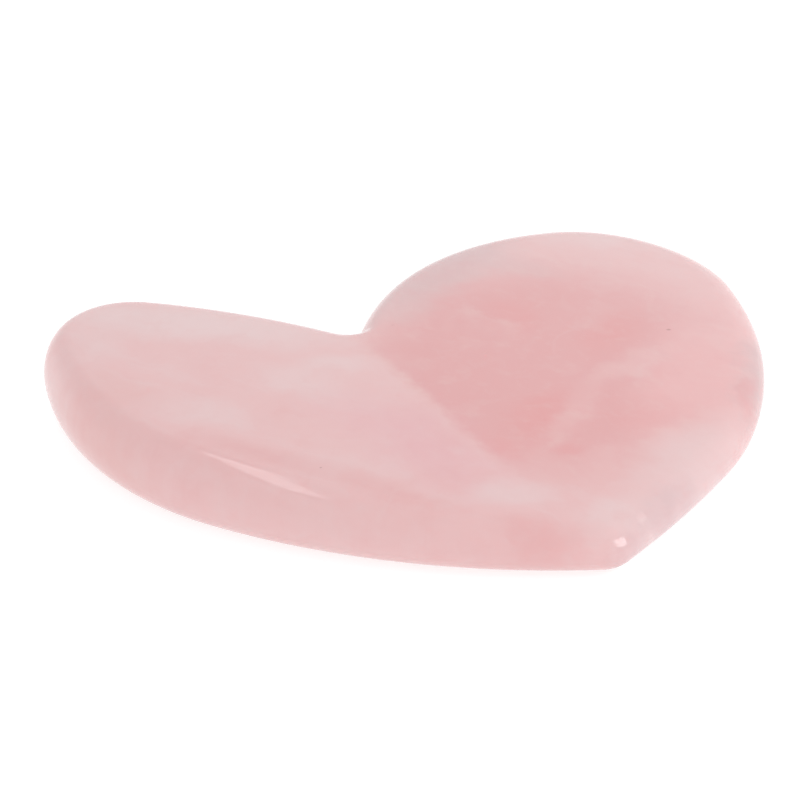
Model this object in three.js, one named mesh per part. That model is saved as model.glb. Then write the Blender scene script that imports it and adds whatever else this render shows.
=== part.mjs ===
// Heart-shaped gua sha board: one stone, sawn and polished from a slab of rose quartz.
// Millimetres, +Z up.  The flat underside lies on z = 0, and the origin is under the middle of the outline.
import * as THREE from 'three';

// Driving dimensions
const rimInset = 3.0;             // how far the rounded rim reaches in from the outline
const middleThickness = 8.3;      // at the middle of the board
const wedge = -0.08;              // thickness gained per mm along +X: thick small lobe, thin large one
const crownRadius = 380;          // the upper face is very slightly domed
const stoneColour = 0xe7c0c0;

// The outline is a chain of circles, counter-clockwise seen from above.  Each one is joined to the next
// by a broader arc of the radius given as next, which touches both.  The notch is a hollow.
const circles = [
  { x: 19.3, y: -30.5, radius: 3.8, hollow: false, next: 129.3 },    // tip
  { x: 0.5, y: 1.5, radius: 36.8, hollow: false, next: 59.6 },       // short side
  { x: 22.0, y: 20.5, radius: 14.4, hollow: false, next: 38.9 },     // large lobe
  { x: -6.5, y: 4.5, radius: 1.2, hollow: true, next: 93.7 },        // notch
  { x: -28.7, y: 0.2, radius: 9.3, hollow: false, next: 35.0 },      // end of the small lobe
  { x: -6.0, y: 1.0, radius: 30.5, hollow: false, next: 70.3 },      // shoulder of the long side
];
const heart = new THREE.Vector2(2, -6);    // a point that sees the whole outline

// Facets
const arcStep = THREE.MathUtils.degToRad(9);
const longestFacet = 3.2;
const rimSteps = 8;
const faceRings = 4;

const centreOf = (circle) => new THREE.Vector2(circle.x, circle.y);
const bulge = (circle) => (circle.hollow ? -circle.radius : circle.radius);

// The arc of the given radius that touches two circles of the chain.
function joiningArc(first, second) {
  const radius = first.next;
  const firstReach = radius - bulge(first);
  const secondReach = radius - bulge(second);
  const ahead = centreOf(second).sub(centreOf(first));
  const gap = ahead.length();
  ahead.normalize();
  const along = (gap ** 2 + firstReach ** 2 - secondReach ** 2) / (2 * gap);
  const aside = Math.sqrt(firstReach ** 2 - along ** 2);
  const left = new THREE.Vector2(-ahead.y, ahead.x);
  const centre = centreOf(first).addScaledVector(ahead, along).addScaledVector(left, aside);
  return { x: centre.x, y: centre.y, radius, hollow: false };
}

// Where a joining arc touches one of its circles.
function touchPoint(joining, circle) {
  const outward = centreOf(circle).sub(centreOf(joining)).normalize();
  return centreOf(joining).addScaledVector(outward, joining.radius);
}

const bearing = (centre, point) => Math.atan2(point.y - centre.y, point.x - centre.x);

// Points and outward directions along one arc, from its first point up to but not including its last.
function arcStations(arc, from, to) {
  const start = bearing(arc, from);
  const turn = THREE.MathUtils.euclideanModulo(bearing(arc, to) - start, 2 * Math.PI);
  const sweep = arc.hollow ? turn - 2 * Math.PI : turn;
  const turned = Math.abs(sweep);
  const steps = Math.ceil(Math.max(turned / arcStep, (turned * arc.radius) / longestFacet));
  return Array.from({ length: steps }, (_, i) => {
    const angle = start + (sweep * i) / steps;
    const ray = new THREE.Vector2(Math.cos(angle), Math.sin(angle));
    const point = centreOf(arc).addScaledVector(ray, arc.radius);
    return { point, outward: ray.multiplyScalar(arc.hollow ? -1 : 1) };
  });
}

function outlineStations() {
  const count = circles.length;
  const joinings = circles.map((circle, i) => joiningArc(circle, circles[(i + 1) % count]));
  return circles.flatMap((circle, i) => {
    const joining = joinings[i];
    const entry = touchPoint(joinings[(i + count - 1) % count], circle);
    const exit = touchPoint(joining, circle);
    const nextEntry = touchPoint(joining, circles[(i + 1) % count]);
    return [...arcStations(circle, entry, exit), ...arcStations(joining, exit, nextEntry)];
  });
}

// Section from the middle of the underside, round the rim, to the middle of the upper face.
// x is 0 at the middle, 1 where the rim's rounding starts and 2 on the outline; y is 0 below and 1 on top.
function sectionPoints() {
  const points = [new THREE.Vector2(0, 0)];
  for (let i = 0; i <= rimSteps; i += 1) {
    const angle = Math.PI * (i / rimSteps - 0.5);
    points.push(new THREE.Vector2(1 + Math.cos(angle), (1 + Math.sin(angle)) / 2));
  }
  for (let ring = faceRings - 1; ring >= 0; ring -= 1) {
    points.push(new THREE.Vector2(ring / faceRings, 1));
  }
  return points;
}

const thickness = (x, y) => middleThickness + wedge * x - (x ** 2 + y ** 2) / (2 * crownRadius);

// A lathed pebble whose circle is then led round the heart outline.
function stoneGeometry() {
  const section = sectionPoints();
  const stations = outlineStations();
  const stone = new THREE.LatheGeometry(section, stations.length);
  const position = stone.getAttribute('position');
  for (let i = 0; i < position.count; i += 1) {
    const station = stations[Math.floor(i / section.length) % stations.length];
    const { x: reach, y: level } = section[i % section.length];
    const inset = rimInset * (2 - Math.max(reach, 1));
    const rim = station.point.clone().addScaledVector(station.outward, -inset);
    const place = heart.clone().lerp(rim, Math.min(reach, 1));
    position.setXYZ(i, place.x, place.y, level * thickness(place.x, place.y));
  }
  stone.computeBoundingBox();
  const middle = stone.boundingBox.getCenter(new THREE.Vector3());
  stone.translate(-middle.x, -middle.y, 0);
  stone.computeVertexNormals();
  return stone;
}

const roseQuartz = new THREE.MeshStandardMaterial({ color: stoneColour, roughness: 0.12, metalness: 0 });

const board = new THREE.Mesh(stoneGeometry(), roseQuartz);
board.name = 'stone_board';

const guaSha = new THREE.Group();
guaSha.add(board);

export default guaSha;
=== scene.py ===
"""Heart-shaped gua sha board: one polished rose quartz stone lying on a pale floor.

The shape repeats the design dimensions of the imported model, in millimetres, and is built far finer.
"""

import math

import bmesh
import bpy
import numpy as np
from mathutils import Euler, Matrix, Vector
from mathutils.geometry import delaunay_2d_cdt


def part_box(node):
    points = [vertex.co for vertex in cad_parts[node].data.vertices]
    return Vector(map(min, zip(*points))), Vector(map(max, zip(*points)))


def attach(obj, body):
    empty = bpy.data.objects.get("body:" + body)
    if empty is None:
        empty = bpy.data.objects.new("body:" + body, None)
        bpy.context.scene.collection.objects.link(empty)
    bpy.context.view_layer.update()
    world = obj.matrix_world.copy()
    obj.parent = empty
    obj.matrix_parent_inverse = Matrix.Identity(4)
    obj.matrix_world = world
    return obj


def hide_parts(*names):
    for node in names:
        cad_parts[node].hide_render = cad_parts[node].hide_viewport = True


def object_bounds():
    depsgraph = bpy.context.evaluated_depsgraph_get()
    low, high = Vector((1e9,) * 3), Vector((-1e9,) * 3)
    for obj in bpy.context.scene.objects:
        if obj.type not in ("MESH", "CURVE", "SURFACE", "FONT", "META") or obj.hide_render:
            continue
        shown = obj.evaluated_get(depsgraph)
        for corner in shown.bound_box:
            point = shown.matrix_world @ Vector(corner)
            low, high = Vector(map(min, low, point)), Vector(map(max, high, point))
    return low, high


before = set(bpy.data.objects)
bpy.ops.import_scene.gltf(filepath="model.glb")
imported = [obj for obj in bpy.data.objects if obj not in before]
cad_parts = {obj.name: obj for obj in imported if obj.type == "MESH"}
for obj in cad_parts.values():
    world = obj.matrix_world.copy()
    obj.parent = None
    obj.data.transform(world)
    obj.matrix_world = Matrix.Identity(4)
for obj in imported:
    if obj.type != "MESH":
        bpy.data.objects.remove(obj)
cad_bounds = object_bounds()

NODE = "stone_board"
MM = 0.001
ORIGIN = (0, 0, 0)

# ---------------------------------------------------------------- design dimensions, millimetres
RIM_INSET = 3.0            # how far the rounded rim reaches in from the outline
MIDDLE_THICKNESS = 8.3
WEDGE = -0.08              # thickness gained per mm along +X
CROWN_RADIUS = 380.0       # the upper face is very slightly domed

# Circles of the outline, counter-clockwise: x, y, radius (negative in the hollow notch), joining radius.
CIRCLES = [
    (19.3, -30.5, 3.8, 129.3),    # tip
    (0.5, 1.5, 36.8, 59.6),       # short side
    (22.0, 20.5, 14.4, 38.9),     # large lobe
    (-6.5, 4.5, -1.2, 93.7),      # notch
    (-28.7, 0.2, 9.3, 35.0),      # end of the small lobe
    (-6.0, 1.0, 30.5, 70.3),      # shoulder of the long side
]

# Fineness of the visual mesh
ARC_STEP = math.radians(3.0)
LONGEST_STEP = 0.35
RIM_STEPS = 28
GRID = 1.1                 # spacing of the points inside the two faces
GRID_MARGIN = 0.7          # share of that spacing left clear along the edge of a face
MERGE_DISTANCE = 1e-6


# ---------------------------------------------------------------- outline
def joining_arc(first, second):
    """Centre and radius of the arc that touches two circles of the chain."""
    x0, y0, r0, radius = first
    x1, y1, r1, _ = second
    gap = math.hypot(x1 - x0, y1 - y0)
    ahead = np.array([x1 - x0, y1 - y0]) / gap
    along = (gap ** 2 + (radius - r0) ** 2 - (radius - r1) ** 2) / (2 * gap)
    aside = math.sqrt((radius - r0) ** 2 - along ** 2)
    centre = np.array([x0, y0]) + ahead * along + np.array([-ahead[1], ahead[0]]) * aside
    return centre, radius


def touch_point(joining, circle):
    """Where a joining arc touches one of its circles."""
    centre, radius = joining
    away = np.array(circle[:2]) - centre
    return centre + away / np.linalg.norm(away) * radius


def arc_stations(centre, radius, start_point, end_point):
    """Points and outward directions along an arc, without its last point."""
    start = math.atan2(*(start_point - centre)[::-1])
    turn = (math.atan2(*(end_point - centre)[::-1]) - start) % (2 * math.pi)
    sweep = turn - 2 * math.pi if radius < 0 else turn
    size = abs(sweep)
    steps = math.ceil(max(size / ARC_STEP, size * abs(radius) / LONGEST_STEP))
    angles = start + sweep * np.arange(steps) / steps
    rays = np.column_stack([np.cos(angles), np.sin(angles)])
    return centre + rays * abs(radius), rays * math.copysign(1, radius)


def outline():
    """Points and outward directions all the way round, in millimetres."""
    count = len(CIRCLES)
    joinings = [joining_arc(CIRCLES[i], CIRCLES[(i + 1) % count]) for i in range(count)]
    runs = []
    for i, circle in enumerate(CIRCLES):
        entry = touch_point(joinings[i - 1], circle)
        leaving = touch_point(joinings[i], circle)
        arrival = touch_point(joinings[i], CIRCLES[(i + 1) % count])
        runs.append(arc_stations(np.array(circle[:2]), circle[2], entry, leaving))
        runs.append(arc_stations(*joinings[i], leaving, arrival))
    points, outward = (np.vstack(column) for column in zip(*runs))
    return points, outward


# ---------------------------------------------------------------- the stone
def thickness(xy):
    """Height of the upper face over the flat underside."""
    return MIDDLE_THICKNESS + WEDGE * xy[:, 0] - (xy ** 2).sum(axis=1) / (2 * CROWN_RADIUS)


def lattice_points(low, high):
    """Rows of points in a triangular lattice over a rectangle."""
    rows = []
    for k, y in enumerate(np.arange(low[1], high[1], GRID * math.sqrt(3) / 2)):
        xs = np.arange(low[0] + (k % 2) * GRID / 2, high[0], GRID)
        rows.append(np.column_stack([xs, np.full(len(xs), y)]))
    return np.vstack(rows)


def face_mesh(ring):
    """Even triangles inside a ring of points.

    Returns the points added inside, and triangles that number the ring first and then those points.
    """
    lattice = lattice_points(ring.min(axis=0), ring.max(axis=0))
    gaps = np.linalg.norm(lattice[:, None, :] - ring[None, :, :], axis=2).min(axis=1)
    together = np.vstack([ring, lattice[gaps > GRID_MARGIN * GRID]])
    points = [Vector(p) for p in together]
    loop = list(range(len(ring)))
    inside_only = 1
    _, _, faces, sources, _, _ = delaunay_2d_cdt(points, [], [loop], inside_only, MERGE_DISTANCE)
    origin = [s[0] for s in sources]
    kept = sorted({origin[i] for face in faces for i in face} - set(loop))
    renumbered = {old: len(ring) + new for new, old in enumerate(kept)}
    renumbered.update({i: i for i in loop})
    triangles = [[renumbered[origin[i]] for i in face] for face in faces]
    return together[kept], triangles


def rim_rings(points, outward):
    """Rings round the rim from the underside to the upper face, and their heights from 0 to 1."""
    rings, levels = [], []
    for i in range(RIM_STEPS + 1):
        angle = math.pi * (i / RIM_STEPS - 0.5)
        inset = RIM_INSET * (1 - math.cos(angle))
        rings.append(points - outward * inset)
        levels.append(np.full(len(points), (1 + math.sin(angle)) / 2))
    return rings, levels


def rim_quads(count):
    quads = []
    for i in range(RIM_STEPS):
        here, above = i * count, (i + 1) * count
        for j in range(count):
            k = (j + 1) % count
            quads.append((here + j, here + k, above + k, above + j))
    return quads


def stone_mesh():
    """Vertices in millimetres, and the faces of the rim, the underside and the upper face."""
    points, outward = outline()
    count = len(points)
    rings, levels = rim_rings(points, outward)
    inner, triangles = face_mesh(rings[0])
    plan = np.vstack(rings + [inner, inner])
    level = np.concatenate(levels + [np.zeros(len(inner)), np.ones(len(inner))])
    under_inner = (RIM_STEPS + 1) * count
    over_inner = under_inner + len(inner)

    def vertex(i, ring_start, inner_start):
        return ring_start + i if i < count else inner_start + i - count

    under = [tuple(vertex(i, 0, under_inner) for i in reversed(t)) for t in triangles]
    over = [tuple(vertex(i, RIM_STEPS * count, over_inner) for i in t) for t in triangles]
    xyz = np.column_stack([plan, level * thickness(plan)])
    return xyz, rim_quads(count) + under + over


def build_stone():
    xyz, faces = stone_mesh()
    low, high = (np.array(c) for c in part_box(NODE))        # metres, so the scale below is close to MM
    here_low, here_high = xyz.min(axis=0), xyz.max(axis=0)
    scale = (high - low) / (here_high - here_low)
    xyz = low + (xyz - here_low) * scale
    mesh = bpy.data.meshes.new("rose_quartz_heart")
    mesh.from_pydata(xyz.tolist(), [], faces)
    mesh.validate()
    shell = bmesh.new()
    shell.from_mesh(mesh)
    bmesh.ops.recalc_face_normals(shell, faces=shell.faces)
    shell.to_mesh(mesh)
    shell.free()
    mesh.shade_smooth()
    stone = bpy.data.objects.new("rose_quartz_heart", mesh)
    bpy.context.scene.collection.objects.link(stone)
    return stone


# ---------------------------------------------------------------- material
def srgb(red, green, blue):
    """A display colour, 0 to 255, as linear RGBA."""
    channels = [c / 255 for c in (red, green, blue)]
    linear = [c / 12.92 if c <= 0.04045 else ((c + 0.055) / 1.055) ** 2.4 for c in channels]
    return (*linear, 1.0)


class Graph:
    """Short names for building a node tree."""

    def __init__(self, material):
        material.use_nodes = True
        self.tree = material.node_tree
        self.tree.nodes.clear()

    def add(self, kind, inputs=None, **settings):
        node = self.tree.nodes.new(kind)
        for name, value in settings.items():
            setattr(node, name, value)
        for name, value in (inputs or {}).items():
            if isinstance(value, bpy.types.NodeSocket):
                self.tree.links.new(value, node.inputs[name])
            else:
                node.inputs[name].default_value = value
        return node

    def vector(self, operation, first, second=None):
        inputs = {0: first}
        if second is not None:
            inputs[1] = second
        node = self.add("ShaderNodeVectorMath", inputs, operation=operation)
        return node.outputs["Value" if operation == "LENGTH" else "Vector"]

    def scaled(self, first, factor):
        node = self.add("ShaderNodeVectorMath", {0: first, "Scale": factor}, operation="SCALE")
        return node.outputs["Vector"]

    def math(self, operation, first, second=0.0):
        return self.add("ShaderNodeMath", {0: first, 1: second}, operation=operation).outputs[0]

    def fade(self, value, start, end, low=0.0, high=1.0):
        """Smooth ramp from low at start to high at end."""
        inputs = {"Value": value, "From Min": start, "From Max": end, "To Min": low, "To Max": high}
        node = self.add("ShaderNodeMapRange", inputs, interpolation_type="SMOOTHSTEP")
        return node.outputs["Result"]

    def noise(self, where, scale, detail, roughness, output="Fac"):
        inputs = {"Vector": where, "Scale": scale, "Detail": detail, "Roughness": roughness}
        return self.add("ShaderNodeTexNoise", inputs).outputs[output]

    def local(self, where, middle, turn=0.0, size=(1, 1, 1)):
        """Coordinates from a middle, along turned axes, in units of size."""
        rotation = (0, 0, math.radians(turn))
        inputs = {"Vector": where, "Location": middle, "Rotation": rotation, "Scale": size}
        return self.add("ShaderNodeMapping", inputs, vector_type="TEXTURE").outputs["Vector"]

    def mix(self, share, under, over):
        node = self.add("ShaderNodeMix", data_type="RGBA", clamp_factor=True)
        self.tree.links.new(share, node.inputs["Factor"])
        for name, value in (("A", under), ("B", over)):
            socket = next(s for s in node.inputs if s.name == name and s.type == "RGBA")
            if isinstance(value, bpy.types.NodeSocket):
                self.tree.links.new(value, socket)
            else:
                socket.default_value = value
        return next(s for s in node.outputs if s.type == "RGBA")


BASE = srgb(223, 183, 183)      # even pale pink
MILK = srgb(222, 196, 196)      # milky white inclusions; also painted sheen on the back of the large lobe and a painted highlight at the tip
BACK_SHEEN = srgb(207, 180, 181)      # greyish pale pink, painted sheen of the bright room along the back edges
SHADED_RIM_GREY = srgb(203, 173, 174)       # greyish pink along the rim at the end of the large lobe, made darker as painted shade against the light from the right
SHADED_TIP_RIM_GREY = srgb(203, 175, 177)     # greyish pink of the rim towards the tip, made darker as painted shade against the light from the right
ROSE = srgb(217, 161, 161)      # the deep pink half, and also painted shade in a band along the shoulder of the long side
DEEP = srgb(220, 150, 149)      # its darkest spots
SHADED_SHOULDER_BROWN = srgb(217, 169, 166)      # slightly brown pink, used as painted shade on the rounded rim at the end of the small lobe
GLOW = srgb(225, 176, 176)      # light warm pink of the thin side
MAUVE = srgb(221, 173, 177)     # slightly purple pink
SPECK = srgb(150, 112, 104)     # mineral grains

# Soft inclusions, and patches of painted shade, sheen and highlight: middle x, y, z in mm,
# half sizes along and across in mm, turn in degrees, colour, strength, and the share of the size that
# has full strength.
CLOUDS = [
    # pale half
    (-22, 2, 7, 22, 6, -10, MILK, 0.90, 0.3),
    (-34, -3, 7, 8, 5, 80, MILK, 0.45, 0.2),
    (-20.5, -16, 8, 10, 3.5, -8, MILK, 0.60, 0.1),
    (-10.5, -10, 7, 9, 4.5, -20, MILK, 0.60, 0.1),
    (-8, -6, 8, 6, 3, 10, MILK, 0.60, 0.1),
    (-2.5, -26, 7, 6, 1.8, -15, MILK, 0.30, 0.1),
    # painted shade on the rounded shoulder and rim at the end of the small lobe
    (-30, -12, 8, 8, 4.5, -40, SHADED_SHOULDER_BROWN, 0.30, 0.1),
    (-34, -17, 3, 20, 7, -52, SHADED_SHOULDER_BROWN, 0.50, 0.2),
    (1, -20, 6, 18, 9, -42, MAUVE, 0.75, 0.1),
    # painted shade: a darker rose band along the shoulder of the long side, running on towards the tip
    (-9, -26.4, 9, 20, 2.7, -22, ROSE, 0.42, 0.2),
    (2.5, -30.8, 6, 7, 1.8, -15, ROSE, 0.28, 0.1),
    # painted sheen along the back of the large lobe and its far end
    (4, 18, 7, 22, 6.5, 58, BACK_SHEEN, 0.85, 0.2),
    (12, 20, 6, 7, 4, 0, BACK_SHEEN, 0.30, 0.1),
    (22, 32, 4, 15, 6, 0, MILK, 0.50, 0.2),
    # right side and tip
    (31, 0, 4, 24, 9, 75, GLOW, 0.85, 0.2),
    # greyish rim, with painted shade that tones down the light from the right
    (38, 5, 3, 25, 4.0, 82, SHADED_RIM_GREY, 0.90, 0.2),
    # greyish rim towards the tip, with painted shade against the light from the right
    (29.5, -25.5, 2, 20, 5.4, 55, SHADED_TIP_RIM_GREY, 0.90, 0.4),
    (29.5, -17, 4, 15, 6.5, 60, MILK, 0.65, 0.2),
    (21, -30, 4, 7, 4.5, 30, MILK, 0.65, 0.2),
    (10.5, -28.2, 5, 6, 3.6, 14, MILK, 0.65, 0.2),
    (13, -34, 4, 6, 3, 5, ROSE, 0.35, 0.1),
    (5, -39, 4, 9, 3.5, -20, MILK, 0.45, 0.1),
    (35.5, -3, 4, 6, 1.5, 82, ROSE, 0.55, 0.3),
    # spots and veins of the deep half
    (-1, -2, 7, 6, 4, 5, ROSE, 0.40, 0.1),
    (14.5, -13, 5, 9, 5, 58, DEEP, 0.55, 0.1),
    (10, -20, 5, 5, 2.4, -60, DEEP, 0.35, 0.1),
    (11, 8, 6, 7, 4, 80, DEEP, 0.35, 0.1),
    (17, -24, 4, 6, 5, 30, ROSE, 0.15, 0.1),
    (20, -20.5, 5, 6, 2.6, 60, BASE, 0.40, 0.1),
    (16.5, -19.5, 5, 2.2, 1.6, 0, DEEP, 0.40, 0.2),
    (25, -10, 4, 8, 4, 35, DEEP, 0.20, 0.1),
    (22, 6, 5, 8, 4, 75, DEEP, 0.40, 0.1),
    (17, -13, 5, 12, 2.4, 67, BASE, 0.45, 0.1),
    (24, 0, 5, 12, 2.6, 50, BASE, 0.65, 0.1),
    # painted highlight: a small bright spot on the rim of the tip
    (23.8, -29.5, 4, 1.2, 0.6, 70, MILK, 0.80, 0.3),
]
CLOUD_DEPTH = 9.0               # inclusions and patches of painted light reach this far up and down, so they run over the rim

# The deep half lies on one side of a healed fracture, from the notch towards the tip.
FRACTURE_POINT = (2.2, -12.0, 5.0)
FRACTURE_TURN = -58.0
FRACTURE_START, FRACTURE_END = -1.0, 1.4        # mm across it, from no deep colour to full
DEEP_MIDDLE, DEEP_TURN, DEEP_SIZE = (14.5, -1.5, 4.0), 66.0, (30.5, 24.0, 30.0)
DEEP_CORE = 0.5                 # share of the size where the deep colour is full
DEEP_STRENGTH = 0.92

# Long thin veils that run from the back of the small lobe to the tip: turn, size in mm, strength.
VEILS = [
    (-32, (18.0, 2.4, 6.0), 0.22),
    (-20, (9.0, 1.0, 3.0), 0.08),
]
VEIL_START, VEIL_END = 0.52, 0.72               # noise levels

# Uneven colour at three sizes, from broad drifts down to grain: noise scale per mm, strength.
MOTTLING = [(0.07, 0.32), (0.22, 0.20), (0.70, 0.08)]
MOTTLING_EDGE, MOTTLING_FULL = 0.02, 0.28       # noise levels either side of the middle

# Hair-thin pale healed cracks, where a broad noise crosses its middle level.
VEIN_SCALE, VEIN_WIDTH, VEIN_STRENGTH = 0.05, 0.02, 0.06
VEIN_GAP_SCALE, VEIN_GAP_START, VEIN_GAP_END = 0.2, 0.45, 0.60

# Upright grain, which shows only where the rim is steep
GRAIN_SIZE = (2.2, 2.2, 26.0)                   # mm
GRAIN_START, GRAIN_FULL = 0.85, 0.45            # upward part of the surface direction

# Its tints: noise level where the tint starts, level where it is full, tint, strength.
GRAIN = [
    (0.50, 0.75, MILK, 0.22),
    (0.48, 0.25, ROSE, 0.14),
]

# Mineral grains: x, y, z, radius in mm.
SPECKS = [
    (-29.0, -13.0, 8.6, 0.25),
    (28.0, 9.0, 5.0, 0.28),
    (-1.5, 3.5, 7.9, 0.32),
    (-8.6, -26.0, 8.0, 0.14),
]
SPECK_SHAPE, SPECK_TURN, SPECK_CORE, SPECK_STRENGTH = (1.5, 1.0, 2.0), 30, 0.2, 0.45

# Polish
WAVE_SCALE = 0.30
PIT_SCALE, PIT_SHARE = 3.0, 0.03
POLISH_RELIEF = 0.012           # mm
SMUDGE_SCALE, SMUDGE_START, SMUDGE_END = 0.16, 0.35, 0.70
CLEAN_ROUGHNESS, SMUDGED_ROUGHNESS = 0.06, 0.13

# The edges of the pattern wander: noise scales per mm, and how far in mm for a full step of noise.
BROAD_SCALE, FINE_SCALE = 0.11, 0.55
BROAD_WANDER, FINE_WANDER, FRACTURE_WANDER = 5.0, 1.5, 2.0

# Light inside the stone
QUARTZ_IOR = 1.54
INNER_LIGHT = 0.4
INNER_LIGHT_RADIUS = (1.0, 0.75, 0.75)
INNER_LIGHT_REACH = 3.0         # mm


def add_veils(graph, place, colour):
    for turn, size, strength in VEILS:
        stretched = graph.local(place, ORIGIN, turn, size)
        veil = graph.noise(stretched, scale=1.0, detail=3.0, roughness=0.6)
        colour = graph.mix(graph.fade(veil, VEIL_START, VEIL_END, 0.0, strength), colour, MILK)
    return colour


def add_deep_half(graph, place, colour):
    side = graph.local(place, FRACTURE_POINT, FRACTURE_TURN)
    across = graph.add("ShaderNodeSeparateXYZ", {0: side}).outputs["Y"]
    beyond = graph.fade(across, FRACTURE_START, FRACTURE_END)
    reach = graph.vector("LENGTH", graph.local(place, DEEP_MIDDLE, DEEP_TURN, DEEP_SIZE))
    inside = graph.fade(reach, 1.0, DEEP_CORE)
    share = graph.math("MULTIPLY", graph.math("MULTIPLY", beyond, inside), DEEP_STRENGTH)
    return graph.mix(share, colour, ROSE)


def add_clouds(graph, place, colour):
    for x, y, z, along, across, turn, tint, strength, core in CLOUDS:
        size = (along, across, CLOUD_DEPTH)
        reach = graph.vector("LENGTH", graph.local(place, (x, y, z), turn, size))
        colour = graph.mix(graph.fade(reach, 1.0, core, 0.0, strength), colour, tint)
    return colour


def add_mottling(graph, place, colour):
    for scale, strength in MOTTLING:
        drift = graph.noise(place, scale, detail=3.0, roughness=0.55)
        for tint, side in ((ROSE, 1), (MILK, -1)):
            start, end = 0.5 + side * MOTTLING_EDGE, 0.5 + side * MOTTLING_FULL
            colour = graph.mix(graph.fade(drift, start, end, 0.0, strength), colour, tint)
    return colour


def add_veins(graph, place, colour):
    level = graph.noise(place, VEIN_SCALE, detail=2.0, roughness=0.5)
    off = graph.math("ABSOLUTE", graph.math("SUBTRACT", level, 0.5))
    line = graph.fade(off, VEIN_WIDTH, 0.0, 0.0, VEIN_STRENGTH)
    gaps = graph.noise(place, VEIN_GAP_SCALE, detail=1.0, roughness=0.5)
    parts = graph.fade(gaps, VEIN_GAP_START, VEIN_GAP_END)
    return graph.mix(graph.math("MULTIPLY", line, parts), colour, MILK)


def add_rim_grain(graph, place, colour):
    """Upright streaks that show only on the steep rim."""
    normal = graph.add("ShaderNodeNewGeometry").outputs["Normal"]
    upright = graph.math("ABSOLUTE", graph.add("ShaderNodeSeparateXYZ", {0: normal}).outputs["Z"])
    steep = graph.fade(upright, GRAIN_START, GRAIN_FULL)
    stretched = graph.local(place, ORIGIN, 0, GRAIN_SIZE)
    grain = graph.noise(stretched, scale=1.0, detail=3.0, roughness=0.5)
    for start, end, tint, strength in GRAIN:
        share = graph.math("MULTIPLY", steep, graph.fade(grain, start, end, 0.0, strength))
        colour = graph.mix(share, colour, tint)
    return colour


def add_specks(graph, place, colour):
    for x, y, z, radius in SPECKS:
        size = tuple(radius * stretch for stretch in SPECK_SHAPE)
        reach = graph.vector("LENGTH", graph.local(place, (x, y, z), SPECK_TURN, size))
        share = graph.fade(reach, 1.0, SPECK_CORE, 0.0, SPECK_STRENGTH)
        colour = graph.mix(share, colour, SPECK)
    return colour


def polish_bump(graph, place):
    """Slight waviness left by hand polishing, and a trace of finer texture."""
    wave = graph.noise(place, WAVE_SCALE, detail=2.0, roughness=0.4)
    pits = graph.noise(place, PIT_SCALE, detail=2.0, roughness=0.6)
    height = graph.math("ADD", wave, graph.math("MULTIPLY", pits, PIT_SHARE))
    inputs = {"Strength": 1.0, "Distance": POLISH_RELIEF * MM, "Height": height}
    return graph.add("ShaderNodeBump", inputs).outputs[0]


def wander(graph, place, scale, detail, roughness):
    """A vector that changes smoothly from place to place, about zero."""
    noise = graph.noise(place, scale, detail, roughness, "Color")
    return graph.vector("SUBTRACT", noise, (0.5, 0.5, 0.5))


def rose_quartz():
    material = bpy.data.materials.new("rose_quartz")
    graph = Graph(material)
    place = graph.scaled(graph.add("ShaderNodeTexCoord").outputs["Object"], 1 / MM)
    broad = wander(graph, place, BROAD_SCALE, detail=2.0, roughness=0.5)
    fine = wander(graph, place, FINE_SCALE, detail=3.0, roughness=0.6)
    drift = graph.vector("ADD", graph.scaled(broad, BROAD_WANDER), graph.scaled(fine, FINE_WANDER))
    drifted = graph.vector("ADD", place, drift)
    ruffled = graph.vector("ADD", place, graph.scaled(fine, FRACTURE_WANDER))

    colour = add_veils(graph, drifted, BASE)
    colour = add_deep_half(graph, ruffled, colour)
    colour = add_clouds(graph, drifted, colour)
    colour = add_mottling(graph, drifted, colour)
    colour = add_veins(graph, drifted, colour)
    colour = add_rim_grain(graph, place, colour)
    colour = add_specks(graph, place, colour)

    smudges = graph.noise(place, SMUDGE_SCALE, detail=4.0, roughness=0.6)
    roughness = graph.fade(smudges, SMUDGE_START, SMUDGE_END, CLEAN_ROUGHNESS, SMUDGED_ROUGHNESS)
    surface = graph.add("ShaderNodeBsdfPrincipled", {
        "Base Color": colour,
        "Roughness": roughness,
        "Normal": polish_bump(graph, place),
        "IOR": QUARTZ_IOR,
        "Subsurface Weight": INNER_LIGHT,
        "Subsurface Radius": INNER_LIGHT_RADIUS,
        "Subsurface Scale": INNER_LIGHT_REACH * MM,
    })
    output = graph.add("ShaderNodeOutputMaterial")
    graph.tree.links.new(surface.outputs["BSDF"], output.inputs["Surface"])
    return material


# ---------------------------------------------------------------- studio
FLOOR_SIZE = 6.0
FLOOR_GLOW = 0.70          # a lit white table, so the stone casts only a faint shadow
FLOOR_WHITE = 0.42
CEILING_GREY = 0.75        # the room is white at eye level and darker overhead
CEILING_START, CEILING_END = 0.45, 0.90     # upward part of the direction, where it fades
VIEW_ELEVATION = math.radians(29.0)
VIEW_DISTANCE = 0.475
VIEW_TARGET = Vector((-0.0007, 0.0023, 0.0))
LENS = 201.6

# Soft lights: name, direction from the stone, width and height in metres, turn in degrees, radiance.
SOFTBOX_DISTANCE = 0.6
SOFTBOXES = [
    ("softbox_overhead", (-0.36, -0.12, 0.93), 0.095, 0.50, 58, 1.75),
    ("softbox_right", (0.83, -0.16, 0.53), 0.33, 0.27, -26, 3.5),
]


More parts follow.
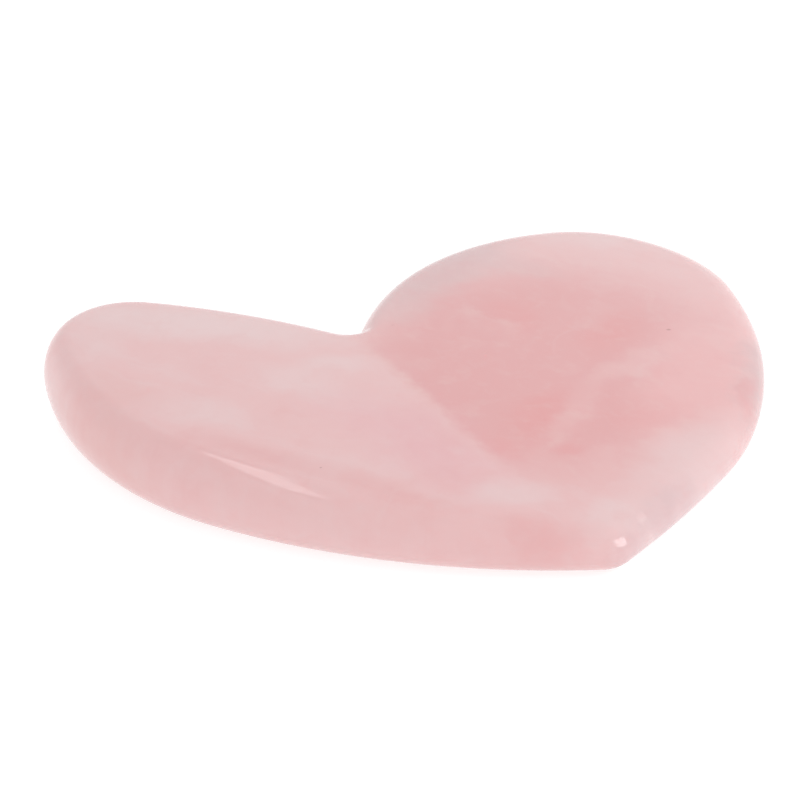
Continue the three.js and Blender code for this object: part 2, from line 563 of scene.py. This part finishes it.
def build_floor():
    bpy.ops.mesh.primitive_plane_add(size=FLOOR_SIZE, location=(0, 0, cad_bounds[0].z))
    floor = bpy.context.object
    floor.name = "studio_floor"
    material = bpy.data.materials.new("studio_white")
    graph = Graph(material)
    surface = graph.add("ShaderNodeBsdfPrincipled", {
        "Base Color": (FLOOR_WHITE, FLOOR_WHITE, FLOOR_WHITE, 1),
        "Roughness": 1.0,
        "Specular IOR Level": 0.0,
        "Emission Color": (1, 1, 1, 1),
        "Emission Strength": FLOOR_GLOW,
    })
    output = graph.add("ShaderNodeOutputMaterial")
    graph.tree.links.new(surface.outputs["BSDF"], output.inputs["Surface"])
    floor.data.materials.append(material)


def add_softbox(name, direction, width, height, turn, radiance):
    """A soft rectangle of light that faces the stone from one direction."""
    data = bpy.data.lights.new(name, "AREA")
    data.shape = "RECTANGLE"
    data.size, data.size_y = width, height
    data.energy = math.pi * width * height * radiance
    light = bpy.data.objects.new(name, data)
    bpy.context.scene.collection.objects.link(light)
    away = Vector(direction).normalized()
    light.location = away * SOFTBOX_DISTANCE
    facing = away.to_track_quat("Z", "Y")
    roll = Euler((0, 0, math.radians(turn))).to_quaternion()
    light.rotation_euler = (facing @ roll).to_euler()
    light.visible_camera = False


def build_room():
    world = bpy.data.worlds.new("studio_room")
    world.use_nodes = True
    tree = world.node_tree
    direction = tree.nodes.new("ShaderNodeTexCoord").outputs["Generated"]
    height = tree.nodes.new("ShaderNodeSeparateXYZ")
    grey = tree.nodes.new("ShaderNodeMapRange")
    grey.interpolation_type = "SMOOTHSTEP"
    grey.inputs["From Min"].default_value = CEILING_START
    grey.inputs["From Max"].default_value = CEILING_END
    grey.inputs["To Min"].default_value = 1.0
    grey.inputs["To Max"].default_value = CEILING_GREY
    background = tree.nodes["Background"]
    background.inputs["Color"].default_value = (1, 1, 1, 1)
    tree.links.new(direction, height.inputs[0])
    tree.links.new(height.outputs["Z"], grey.inputs["Value"])
    tree.links.new(grey.outputs["Result"], background.inputs["Strength"])
    bpy.context.scene.world = world


def build_lights():
    for softbox in SOFTBOXES:
        add_softbox(*softbox)


def build_camera():
    data = bpy.data.cameras.new("camera")
    data.lens = LENS
    data.clip_start, data.clip_end = 0.01, 20
    camera = bpy.data.objects.new("camera", data)
    bpy.context.scene.collection.objects.link(camera)
    back = Vector((0, -math.cos(VIEW_ELEVATION), math.sin(VIEW_ELEVATION)))
    camera.location = VIEW_TARGET + back * VIEW_DISTANCE
    camera.rotation_euler = back.to_track_quat("Z", "Y").to_euler()
    bpy.context.scene.camera = camera
    bpy.context.scene.view_settings.view_transform = "Standard"


build_camera()
build_floor()
build_room()
build_lights()
stone = build_stone()
stone.data.materials.append(rose_quartz())
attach(stone, "root")
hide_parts(NODE)
